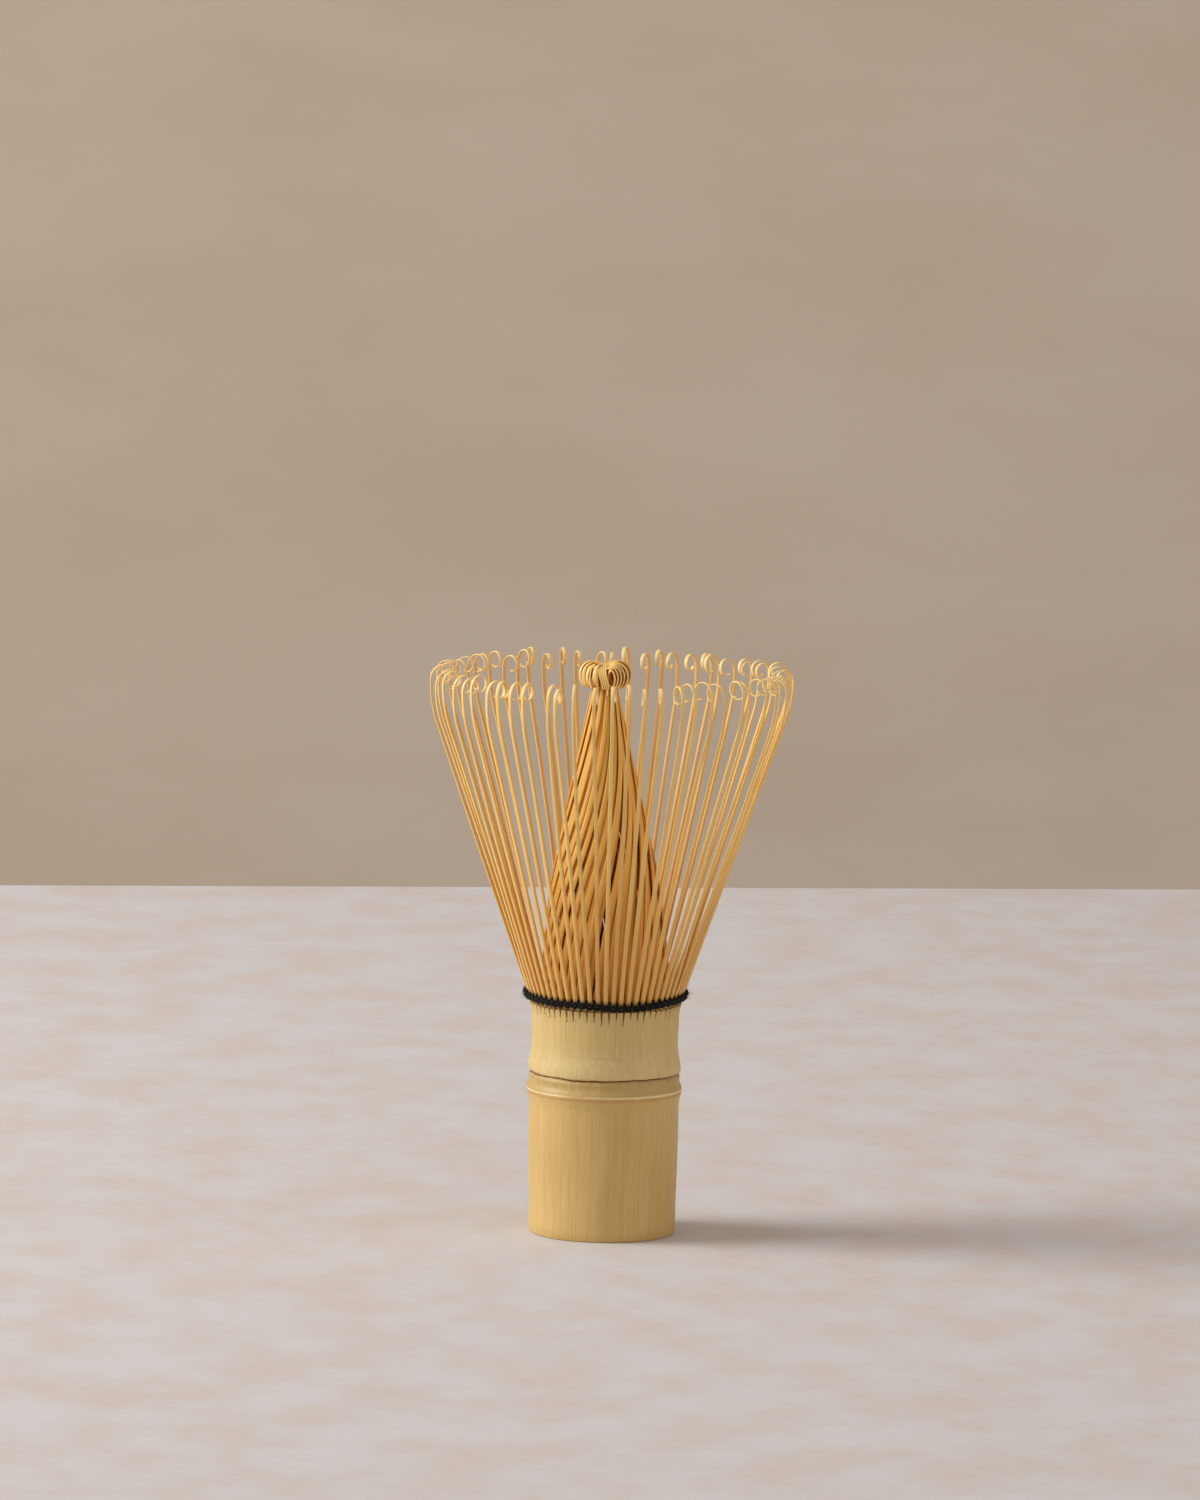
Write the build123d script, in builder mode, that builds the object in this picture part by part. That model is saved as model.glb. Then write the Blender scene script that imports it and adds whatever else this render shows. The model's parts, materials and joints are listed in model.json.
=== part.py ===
from build123d import *

import os
from math import atan, cos, degrees, radians, sin, tan
from random import Random

# Bamboo tea whisk, in millimetres, +Z up, standing on the cut end of its handle. The origin is the
# centre of that end. A whisk is carved from one length of bamboo: the handle below the joint of the
# culm (the node), a short crown above it, and the wall over the crown split into 16 splints. Each
# splint is shaved into 4 outer tines with curled tips and 4 inner tines, whose tips are twisted
# together and rolled over into a knot. A black cotton thread is woven round the feet of the outer tines.

# Handle and node
BASE_R = 12.93  # outside radius at the cut end
FOOT_CHAMFER = 0.35
BELLY_R = 13.22  # outside radius below the ridge
BORE_R = 9.8  # inside radius of the handle
RIDGE_Z, RIDGE_R = 25.6, 13.72  # swelling under the node
SHOULDER_Z, SHOULDER_R = 27.9, 13.3  # over the ridge
GROOVE_Z, GROOVE_R = 28.4, 13.0  # scar of the culm sheath, where the two internodes meet
LIP_EDGE_Z, LIP_EDGE_R = 28.75, 13.42
LIP_Z, LIP_R = 29.1, 13.46  # swelling over the node
WAIST_Z, WAIST_R = 34.5, 12.9
SEPTUM_Z0, SEPTUM_Z1 = 26.0, 28.3  # the wall that closes the culm inside the node
SEPTUM_DISH = 0.8  # how far each face of the septum is hollowed
SEPTUM_SEAT_R = 10.0  # inside radius of the culm from the septum up
SEPTUM_GAP = 0.02

# Crown, where the wall is split
SPLINTS = 16
TINES = 4  # outer tines, and inner tines, per splint
TINE_PITCH = 360 / (SPLINTS * TINES)  # degrees
SPLIT_Z = 38.6  # foot of the inner tines and of the slits
LEDGE_R = 12.25  # outer tines are cut from the wall outside this radius
SLIT_FOOT_W = 0.08
FINGER_TOP_R = 13.66  # outside of the crown's fingers at the binding

# Binding, a ring that slopes down towards the front (-Y)
BIND_Z = 42.3
BIND_DROP = 0.55  # half the height that it loses from back to front
THREAD_R = 0.27
THREAD_GAP = 0.16  # between the outer rows and the tines
ROW_RISE = 0.28  # of the upper outer row over the ring's plane, and of the lower one under it
INNER_ROW_R = 12.6
STITCH_R = 0.17
END_KNOT_R, END_KNOT_INSET, END_KNOT_RISE = 0.48, 0.15, 0.9  # inwards from, and over, the inner row

# Outer tines
TINE_FOOT_R = 13.45  # middle of a tine at the binding
TINE_W0, TINE_W1 = 0.8, 0.74  # width at the binding and at the tip
TINE_T0, TINE_T1 = 0.55, 0.36  # thickness at the binding, and from the bend to the tip
LEAN_SLOPE = 0.3506  # outwards, per mm of height
LEAN_SKEW = 0.007  # the brush leans a little towards +X
BEND_Z = 90.0  # a tine starts to turn upright here
UPRIGHT_Z = 97.2  # and is upright here
SIDE_LEANS = ((-0.25, 1.1), (-0.6, 0.8), (-0.8, 0.6), (-1.1, 0.25))  # degrees, for a splint's 4 tines
CURL = ((2.1, 88), (1.5, 125), (1.15, 85))  # radius and turn in degrees of the curl's arcs
TINE_TOP_Z = 101.2  # over every curl
SLOPE_SPREAD, LIFT_SPREAD = 0.014, 0.5  # a tine's own slope, and height of its curl, differ by up to this
CURL_SIZES, TAIL_TURNS = (0.9, 1.1), (-30, 20)  # range of its curl's scale, and of the last arc's extra turn
PIVOT_GAP = 0.1  # between a crown finger and its tine

# Inner tines
INNER_FOOT_R, INNER_FOOT_W, INNER_FOOT_T = 11.35, 0.82, 0.8
INNER_MID_Z, INNER_MID_R, INNER_MID_W, INNER_MID_T = 58.0, 9.7, 0.76, 0.36
NECK_Z = 95.3
NECK_LAYERS = ((2.31, 0.5), (1.47, 0.42), (1.89, 0.5), (1.05, 0.32))  # radius and tine width
NECK_T = 0.33
LAYER_STEP = 0.44  # between the layers at mid height
TWIST_MID, TWIST_NECK = 12.0, 54.0  # degrees that the bundle is twisted by

# Knot of rolled tips
KNOT_X = -1.1  # the knot stands a little to one side of the axis
KNOT_BAND_T = 0.44
KNOT_STEM_R = 1.33
KNOT_ROLL = ((1.6, 180), (8.0, 12), (1.5, 80))  # radius and turn in degrees of a rolled tip's arcs
KNOT_TURN_Z = 99.13  # where the roll starts
KNOT_SECTOR = 20.0  # degrees that each rolled bundle covers
CORE_R, CORE_TOP_Z = 0.95, 99.55
KNOT_GAP = 0.05  # between the neck and the knot

os.makedirs("parts", exist_ok=True)
chance = Random(16)


def save(part, name):
    part.label = name
    export_step(part, f"parts/{name}.step")


def bind_height(azimuth):
    """Height of the binding ring at an azimuth in degrees."""
    return BIND_Z + BIND_DROP * sin(radians(azimuth))


def binding_plane():
    """The plane of the binding ring."""
    slope = degrees(atan(BIND_DROP / TINE_FOOT_R))
    return Plane(origin=(0, 0, BIND_Z)).rotated((slope, 0, 0))


def radial_plane(azimuth, height=0.0, side_lean=0.0):
    """Upright plane through the axis: its x runs outwards and its y upwards."""
    a, b = radians(azimuth), radians(side_lean)
    outwards = Vector(cos(a), sin(a), 0)
    across = Vector(sin(a) * cos(b), -cos(a) * cos(b), sin(b))
    return Plane(origin=(0, 0, height), x_dir=outwards, z_dir=across)


def facing_plane(azimuth, height=0.0, side_lean=0.0):
    """The plane square to radial_plane: its x runs round the whisk, its y upwards, its normal outwards."""
    upright = radial_plane(azimuth, height, side_lean)
    return Plane(origin=upright.origin, x_dir=-upright.z_dir, z_dir=upright.x_dir)


def strip_ends(point, heading, thickness):
    """The right and left edge of a strip of that thickness at a point of its middle line."""
    right = Vector(sin(radians(heading)), -cos(radians(heading)))
    return point + right * thickness / 2, point - right * thickness / 2


def roll(point, heading, arcs, thickness, turn_sign):
    """Draws both edges of a strip that rolls up in tangent arcs, and closes its end."""
    for radius, turn in arcs:
        to_centre = Vector(-sin(radians(heading)), cos(radians(heading))) * turn_sign
        centre = point + to_centre * radius
        start = heading - 90 * turn_sign
        for edge in (radius - thickness / 2, radius + thickness / 2):
            CenterArc(centre, edge, start, turn * turn_sign)
        heading += turn * turn_sign
        point = centre + Vector(cos(radians(heading)), sin(radians(heading))).rotate(
            Axis.Z, -90 * turn_sign
        ) * radius
    Line(*strip_ends(point, heading, thickness))


def lower_culm():
    """The handle: a tube open at its lower end, swelling into a ridge under the node."""
    with BuildPart() as culm:
        with BuildSketch(Plane.XZ):
            with BuildLine():
                Line((BORE_R, 0), (BASE_R - FOOT_CHAMFER, 0))
                Line((BASE_R - FOOT_CHAMFER, 0), (BASE_R, FOOT_CHAMFER))
                Spline(
                    (BASE_R, FOOT_CHAMFER),
                    (BELLY_R - 0.08, 12),
                    (BELLY_R, RIDGE_Z - 4.6),
                    (RIDGE_R - 0.26, RIDGE_Z - 1.3),
                    (RIDGE_R, RIDGE_Z),
                    tangents=((0, 1), (0, 1)),
                )
                Spline(
                    (RIDGE_R, RIDGE_Z),
                    (SHOULDER_R + 0.06, RIDGE_Z + 1),
                    (SHOULDER_R, SHOULDER_Z),
                    tangents=((0, 1), (0, 1)),
                )
                Line((SHOULDER_R, SHOULDER_Z), (GROOVE_R, GROOVE_Z))
                Polyline(
                    (GROOVE_R, GROOVE_Z),
                    (SEPTUM_SEAT_R, GROOVE_Z),
                    (SEPTUM_SEAT_R, SEPTUM_Z0),
                    (BORE_R, SEPTUM_Z0),
                    (BORE_R, 0),
                )
            make_face()
        revolve(axis=Axis.Z)
    save(culm.part, "lower_culm")


def septum():
    """The thin dished wall that closes the culm at its node."""
    edge = SEPTUM_SEAT_R - SEPTUM_GAP
    with BuildPart() as wall:
        with BuildSketch(Plane.XZ):
            with BuildLine():
                Spline((0, SEPTUM_Z0 + SEPTUM_DISH), (edge, SEPTUM_Z0), tangents=((1, 0), (1, -0.3)))
                Line((edge, SEPTUM_Z0), (edge, SEPTUM_Z1))
                Spline((edge, SEPTUM_Z1), (0, SEPTUM_Z1 - SEPTUM_DISH), tangents=((-1, -0.3), (-1, 0)))
                Line((0, SEPTUM_Z1 - SEPTUM_DISH), (0, SEPTUM_Z0 + SEPTUM_DISH))
            make_face()
        revolve(axis=Axis.Z)
    save(wall.part, "node_septum")


def crown():
    """The culm over the node, with a ledge for the inner tines and a finger under each outer tine."""
    slit_w = 2 * TINE_FOOT_R * tan(radians(TINE_PITCH / 2)) - TINE_W0
    slit_inside, slit_outside = LEDGE_R - 0.5, TINE_FOOT_R + 1
    top = BIND_Z + 2 * BIND_DROP
    flare = (FINGER_TOP_R - BASE_R) / (BIND_Z - SPLIT_Z)
    rim_r = FINGER_TOP_R + LEAN_SLOPE * (top - BIND_Z)
    with BuildPart() as slit:
        with BuildSketch(facing_plane(TINE_PITCH / 2).offset(slit_inside)):
            with BuildLine():
                Polyline(
                    (-SLIT_FOOT_W / 2, SPLIT_Z),
                    (SLIT_FOOT_W / 2, SPLIT_Z),
                    (slit_w / 2, BIND_Z - BIND_DROP),
                    (slit_w / 2, top),
                    (-slit_w / 2, top),
                    (-slit_w / 2, BIND_Z - BIND_DROP),
                    close=True,
                )
            make_face()
        extrude(amount=slit_outside - slit_inside)
    with BuildPart() as culm:
        with BuildSketch(Plane.XZ):
            with BuildLine():
                Line((SEPTUM_SEAT_R, GROOVE_Z), (GROOVE_R, GROOVE_Z))
                Line((GROOVE_R, GROOVE_Z), (LIP_EDGE_R, LIP_EDGE_Z))
                Spline(
                    (LIP_EDGE_R, LIP_EDGE_Z),
                    (LIP_R, LIP_Z),
                    (WAIST_R + 0.1, LIP_Z + 3),
                    (WAIST_R, WAIST_Z),
                    (BASE_R + 0.05, SPLIT_Z - 0.6),
                    (FINGER_TOP_R, BIND_Z),
                    tangents=((0.2, 1), (flare, 1)),
                )
                Line((FINGER_TOP_R, BIND_Z), (rim_r, top))
                Line((rim_r, top), (rim_r - TINE_T0, top))
                Line((rim_r - TINE_T0, top), (LEDGE_R, SPLIT_Z))
                Line((LEDGE_R, SPLIT_Z), (SEPTUM_SEAT_R, SPLIT_Z))
                Line((SEPTUM_SEAT_R, SPLIT_Z), (SEPTUM_SEAT_R, GROOVE_Z))
            make_face()
        revolve(axis=Axis.Z)
        with PolarLocations(0, SPLINTS * TINES):
            add(slit.part, mode=Mode.SUBTRACT)
        split(bisect_by=binding_plane(), keep=Keep.BOTTOM)
    save(culm.part, "upper_culm")


def outer_tine(azimuth, lean_range):
    """One strip: a straight leaning stem, a slow bend upright, and a curl towards the axis."""
    slope = LEAN_SLOPE + LEAN_SKEW * cos(radians(azimuth))
    slope += chance.uniform(-SLOPE_SPREAD, SLOPE_SPREAD)
    side_lean = chance.uniform(*lean_range)
    lift = chance.uniform(-LIFT_SPREAD, LIFT_SPREAD)
    size = chance.uniform(*CURL_SIZES)
    tail = chance.uniform(*TAIL_TURNS)

    foot_z = bind_height(azimuth)
    lean = degrees(atan(slope))
    heading = 90 - lean
    bend = Vector(TINE_FOOT_R + slope * (BEND_Z - foot_z), BEND_Z - foot_z)
    bend_radius = (UPRIGHT_Z + lift - BEND_Z) / sin(radians(lean))
    extra_turns = (0, 0, tail)
    curl = [(radius * size, turn + extra) for (radius, turn), extra in zip(CURL, extra_turns)]
    arcs = [(bend_radius, lean), *curl]
    half_foot = TINE_T0 / 2 / cos(radians(lean))
    foot_r = TINE_FOOT_R + slope * PIVOT_GAP
    inside, outside = Vector(foot_r - half_foot, PIVOT_GAP), Vector(foot_r + half_foot, PIVOT_GAP)
    bend_outside, bend_inside = strip_ends(bend, heading, TINE_T1)
    top = TINE_TOP_Z - foot_z

    with BuildPart() as tine:
        with BuildSketch(radial_plane(azimuth, foot_z, side_lean)):
            with BuildLine():
                Line(inside, outside)
                Line(outside, bend_outside)
                Line(inside, bend_inside)
                roll(bend, heading, arcs, TINE_T1, turn_sign=1)
            make_face()
        extrude(amount=TINE_W0, both=True)
        with BuildSketch(facing_plane(azimuth, foot_z, side_lean)):
            with BuildLine():
                Polyline(
                    (-TINE_W0 / 2, 0),
                    (TINE_W0 / 2, 0),
                    (TINE_W1 / 2, top),
                    (-TINE_W1 / 2, top),
                    close=True,
                )
            make_face()
        extrude(amount=3 * TINE_FOOT_R, mode=Mode.INTERSECT)
    return tine.part


def inner_tine(azimuth, layer):
    """One strip from the ledge to the neck of the knot. Its layer says how deep in the bundle it ends."""
    neck_r, neck_w = NECK_LAYERS[layer]
    depth = sorted((r for r, _ in NECK_LAYERS), reverse=True).index(neck_r)
    mid_shift = KNOT_X * (INNER_MID_Z - SPLIT_Z) / (NECK_Z - SPLIT_Z)
    sections = (
        (SPLIT_Z, INNER_FOOT_R, 0, INNER_FOOT_T, INNER_FOOT_W, 0),
        (INNER_MID_Z, INNER_MID_R - depth * LAYER_STEP, TWIST_MID, INNER_MID_T, INNER_MID_W, mid_shift),
        (NECK_Z, neck_r, TWIST_NECK, NECK_T, neck_w, KNOT_X),
    )
    with BuildPart() as tine:
        for height, radius, twist, thickness, width, shift in sections:
            with BuildSketch(Plane((shift, 0, height)).rotated((0, 0, azimuth + twist))):
                with Locations((radius, 0)):
                    Rectangle(thickness, width)
        loft(ruled=True)
    return tine.part


def splints():
    """Each splint is one node of four outer tines and one node of four inner tines."""
    for splint in range(SPLINTS):
        azimuths = [(splint * TINES + tine) * TINE_PITCH for tine in range(TINES)]
        outer = Compound(children=[outer_tine(*pair) for pair in zip(azimuths, SIDE_LEANS)])
        save(outer, f"outer_splint_{splint + 1:02}")
        inner = Compound(children=[inner_tine(azimuth, tine) for tine, azimuth in enumerate(azimuths)])
        save(inner, f"inner_splint_{splint + 1:02}")


def knot():
    """Sixteen bundles of tips, each rolled outwards over the neck, round a solid twisted core."""
    foot_z = NECK_Z + KNOT_GAP
    foot = Vector(KNOT_STEM_R, foot_z)
    turn = Vector(KNOT_STEM_R, KNOT_TURN_Z)
    half = Vector(KNOT_BAND_T / 2, 0)
    with BuildPart() as rolled:
        with BuildSketch(Plane.XZ):
            with BuildLine():
                Line(foot - half, foot + half)
                Line(foot - half, turn - half)
                Line(foot + half, turn + half)
                roll(turn, 90, KNOT_ROLL, KNOT_BAND_T, turn_sign=-1)
            make_face()
        revolve(axis=Axis.Z, revolution_arc=KNOT_SECTOR)
    with BuildPart() as rolls:
        with Locations((KNOT_X, 0, 0)):
            with PolarLocations(0, SPLINTS):
                add(rolled.part)
    save(rolls.part, "knot_rolls")

    with BuildPart() as core:
        with BuildSketch(Plane((KNOT_X, 0, foot_z))):
            Circle(CORE_R)
        extrude(amount=CORE_TOP_Z - foot_z)
        fillet(core.edges().group_by(Axis.Z)[-1], CORE_R / 2)
    save(core.part, "knot_core")


def binding():
    """Two rows of thread outside the outer tines, one behind them, and a stitch through each gap."""
    outer_row_r = TINE_FOOT_R + TINE_T0 / 2 + THREAD_GAP + THREAD_R
    rows = {
        "thread_upper_row": (outer_row_r + LEAN_SLOPE * ROW_RISE, ROW_RISE),
        "thread_lower_row": (outer_row_r - LEAN_SLOPE * ROW_RISE, -ROW_RISE),
        "thread_inner_row": (INNER_ROW_R, 0),
    }
    for name, (radius, rise) in rows.items():
        with BuildPart(binding_plane().offset(rise)) as row:
            Torus(radius, THREAD_R)
        save(row.part, name)

    with BuildPart() as stitches:
        for gap in range(SPLINTS * TINES):
            azimuth = (gap + 0.5) * TINE_PITCH
            with BuildSketch(facing_plane(azimuth, bind_height(azimuth)).offset(INNER_ROW_R + THREAD_R)):
                Circle(STITCH_R)
            extrude(amount=TINE_FOOT_R - INNER_ROW_R)
    save(stitches.part, "thread_stitches")

    with BuildPart() as end_knot:
        with Locations((0, INNER_ROW_R - END_KNOT_INSET, BIND_Z + BIND_DROP + END_KNOT_RISE)):
            Sphere(END_KNOT_R)
    save(end_knot.part, "thread_knot")


lower_culm()
septum()
crown()
splints()
knot()
binding()
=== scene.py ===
import json
from math import atan, ceil, copysign, cos, exp, hypot, pi, radians, sin, sqrt, tan
from random import Random

import bpy
from mathutils import Matrix, Quaternion, Vector, noise


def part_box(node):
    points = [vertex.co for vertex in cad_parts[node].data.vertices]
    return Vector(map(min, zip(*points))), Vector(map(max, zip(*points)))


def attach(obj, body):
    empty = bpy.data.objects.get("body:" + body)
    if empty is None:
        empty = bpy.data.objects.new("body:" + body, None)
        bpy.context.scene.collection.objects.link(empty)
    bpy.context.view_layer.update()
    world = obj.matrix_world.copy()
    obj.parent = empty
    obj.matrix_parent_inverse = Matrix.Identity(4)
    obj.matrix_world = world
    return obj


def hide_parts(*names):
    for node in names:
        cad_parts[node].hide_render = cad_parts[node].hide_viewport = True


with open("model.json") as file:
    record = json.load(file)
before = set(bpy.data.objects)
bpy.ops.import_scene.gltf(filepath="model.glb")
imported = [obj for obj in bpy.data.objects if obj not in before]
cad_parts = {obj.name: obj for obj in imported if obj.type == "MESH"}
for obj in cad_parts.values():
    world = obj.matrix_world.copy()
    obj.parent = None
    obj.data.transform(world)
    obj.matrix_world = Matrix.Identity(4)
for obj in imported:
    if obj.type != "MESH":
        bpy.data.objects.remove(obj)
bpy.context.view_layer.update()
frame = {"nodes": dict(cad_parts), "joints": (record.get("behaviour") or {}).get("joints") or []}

# Everything is worked out in millimetres and stored in metres.
MM = 0.001
UP = Vector((0, 0, 1))

SPLINTS, TINES = 16, 4
PITCH = 360 / (SPLINTS * TINES)
HINGE_RISE = 0.1  # from the binding up to the tines' hinges
joints = {j["name"]: j for j in frame["joints"]}
hinges = [joints[f"outer_{i + 1:02}_flex"] for i in range(SPLINTS)]
feet = [Vector(h["pos_m"]) / MM for h in hinges]
FOOT_R = sum(hypot(p.x, p.y) for p in feet) / SPLINTS
BIND_Z = sum(p.z for p in feet) / SPLINTS - HINGE_RISE
BIND_DROP = (max(p.z for p in feet) - min(p.z for p in feet)) / 2 / cos(radians(PITCH / 2))
GROOVE_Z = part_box("lower_culm")[1].z / MM
SPLIT_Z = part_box("inner_splint_01")[0].z / MM
NECK_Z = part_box("inner_splint_01")[1].z / MM
SEPTUM_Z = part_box("node_septum")[0].z / MM
BORE_R, HOLLOW_R = 9.8, 10.0  # inside the culm, below its node and above it
SCAR_R = 12.2  # the face on which the culm's two halves meet
LEDGE_R = 12.25  # the inner face of the crown's fingers, down to the ledge under the inner tines
knot_low, knot_high = (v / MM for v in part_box("knot_rolls"))
KNOT_MIDDLE = Vector(((knot_low.x + knot_high.x) / 2, 0, 0))
KNOT_OUT_R = (knot_high.x - knot_low.x) / 2 - 0.16  # the middle of its outermost strips
KNOT_TOP, KNOT_FOOT = knot_high.z, 96.15

# Outer tines: width and thickness at the foot, at the bend and at the tip
TINE_W0, TINE_BEND_W, TINE_W1 = 0.8, 0.64, 0.68
TINE_T0, TINE_BEND_T, TINE_T1 = 0.55, 0.36, 0.25
FOOT_GAP = 0.17  # from the binding's own height up to a tine's foot
LEAN_SLOPE, LEAN_SKEW, SLOPE_SPREAD = 0.3506, 0.007, 0.014
BEND_Z, UPRIGHT_Z, LIFT_SPREAD = 90.0, 97.2, 0.5
SIDE_LEANS = ((-0.25, 1.1), (-0.6, 0.8), (-0.8, 0.6), (-1.1, 0.25))

# The curl's stretches, as (radius, degrees). Its size and its last turn vary from tine to tine.
CURL = ((2.1, 88), (1.5, 125), (1.15, 85))
CURL_SIZES, TAIL_TURNS = (0.9, 1.1), (-30, 20)
CURL_END_R = 0.85

# Inner tines: (radius, thickness, width) at the foot and where the cone turns in.
# At the neck the four tines of a splint lie in four layers, each (radius, width).
INNER_FOOT = (11.35, 0.8, 0.98)
INNER_MID = (10.3, 0.36, 1.1)
INNER_MID_Z = 58.0
NECK_LAYERS = ((2.31, 0.72), (1.47, 0.64), (1.89, 0.72), (1.05, 0.54))
NECK_T = 0.26
INTO_KNOT = 2.4  # how far the strips run on inside the knot
LAYER_STEP = 0.22
TWIST_MID, TWIST_NECK = 12.0, 78.0


def bind_height(azimuth):
    return BIND_Z + BIND_DROP * sin(radians(azimuth))


def polar(radius, azimuth, z):
    a = radians(azimuth)
    return Vector((radius * cos(a), radius * sin(a), z))


def mix(a, b, t):
    return a + (b - a) * t


def ramp(value, low, high):
    """0 below low, 1 above high, and smooth between them."""
    t = min(1.0, max(0.0, (value - low) / (high - low)))
    return t * t * (3 - 2 * t)


# ---------------------------------------------------------------- mesh building

class Skin:
    """Collects strips and tubes into one mesh. Each point knows how far along its strip it lies (mm),
    where across and through it, how near the tip, and the strip's own tone."""

    NAMES = ("along", "across", "through", "tip", "tone")

    def __init__(self):
        self.verts, self.faces = [], []
        self.facts = {name: [] for name in self.NAMES}

    def point(self, place, **facts):
        self.verts.append(place * MM)
        for name in self.NAMES:
            self.facts[name].append(facts.get(name, 0.0))
        return len(self.verts) - 1

    def tube(self, rings, closed=False):
        """rings are equal lists of point indices. An open tube gets end caps."""
        n = len(rings[0])
        pairs = list(zip(rings, rings[1:]))
        if closed:
            pairs.append((rings[-1], rings[0]))
        for low, high in pairs:
            for k in range(n):
                self.faces.append((low[k], low[(k + 1) % n], high[(k + 1) % n], high[k]))
        if not closed:
            self.faces.append(tuple(reversed(rings[0])))
            self.faces.append(tuple(rings[-1]))

    def strip(self, frames, tone, sides=10):
        """frames: (centre, outward normal, direction across, width, thickness) along the strip.
        The section is a flat box with rounded corners."""
        rings, along = [], 0.0
        total = sum((b[0] - a[0]).length for a, b in zip(frames, frames[1:]))
        last = frames[0][0]
        for centre, out, side, width, thickness in frames:
            along += (centre - last).length
            last = centre
            ring = []
            for k in range(sides):
                a = 2 * pi * (k + 0.5) / sides
                x = copysign(abs(cos(a)) ** 0.5, cos(a))
                y = copysign(abs(sin(a)) ** 0.6, sin(a))
                place = centre + side * (x * width / 2) + out * (y * thickness / 2)
                ring.append(self.point(place, along=along, across=x * width / 2, through=y,
                                       tip=along / total, tone=tone))
            rings.append(ring)
        self.tube(rings)

    def thread(self, path, radius, tone, sides=8, closed=False, taper=0.0):
        """A round strand along a list of points."""
        n = len(path)
        rings, along = [], 0.0
        normal = None
        for i, p in enumerate(path):
            before = path[i - 1] if i or closed else p
            after = path[(i + 1) % n] if i + 1 < n or closed else p
            ahead = (after - before).normalized()
            if normal is None:
                normal = ahead.orthogonal()
            normal = (normal - ahead * normal.dot(ahead)).normalized()
            side = ahead.cross(normal)
            if i:
                along += (p - path[i - 1]).length
            r = radius * (1 - taper * i / max(1, n - 1))
            rings.append([
                self.point(p + (normal * cos(2 * pi * k / sides) + side * sin(2 * pi * k / sides)) * r,
                           along=along, across=k / sides, through=1.0, tip=i / n, tone=tone)
                for k in range(sides)
            ])
        self.tube(rings, closed)

    def build(self, name, material):
        mesh = bpy.data.meshes.new(name)
        mesh.from_pydata(self.verts, [], self.faces)
        for label in self.NAMES:
            mesh.attributes.new(label, "FLOAT", "POINT").data.foreach_set("value", self.facts[label])
        mesh.materials.append(material)
        mesh.update()
        mesh.shade_smooth()
        obj = bpy.data.objects.new(name, mesh)
        bpy.context.collection.objects.link(obj)
        return obj


def settle(piece, body, node=None):
    """Hangs a piece on the body it moves with and hides the CAD node it stands for."""
    if node:
        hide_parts(node)
    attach(piece, body)


def curve_through(points, count):
    """count + 1 points on a smooth curve through the given ones."""
    out = []
    for i in range(count + 1):
        t = i / count * (len(points) - 1)
        k = min(int(t), len(points) - 2)
        u = t - k
        p1, p2 = points[k], points[k + 1]
        p0 = points[k - 1] if k else p1 * 2 - p2
        p3 = points[k + 2] if k + 2 < len(points) else p2 * 2 - p1
        out.append(0.5 * ((2 * p1) + (p2 - p0) * u + (2 * p0 - 5 * p1 + 4 * p2 - p3) * u ** 2
                          + (3 * p1 - p0 - 3 * p2 + p3) * u ** 3))
    return out


# ---------------------------------------------------------------- materials

def linear(r, g, b):
    """A screen colour, 0 to 255, as Blender's linear one."""
    def one(v):
        v /= 255
        return v / 12.92 if v <= 0.04045 else ((v + 0.055) / 1.055) ** 2.4
    return one(r), one(g), one(b), 1.0


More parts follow.
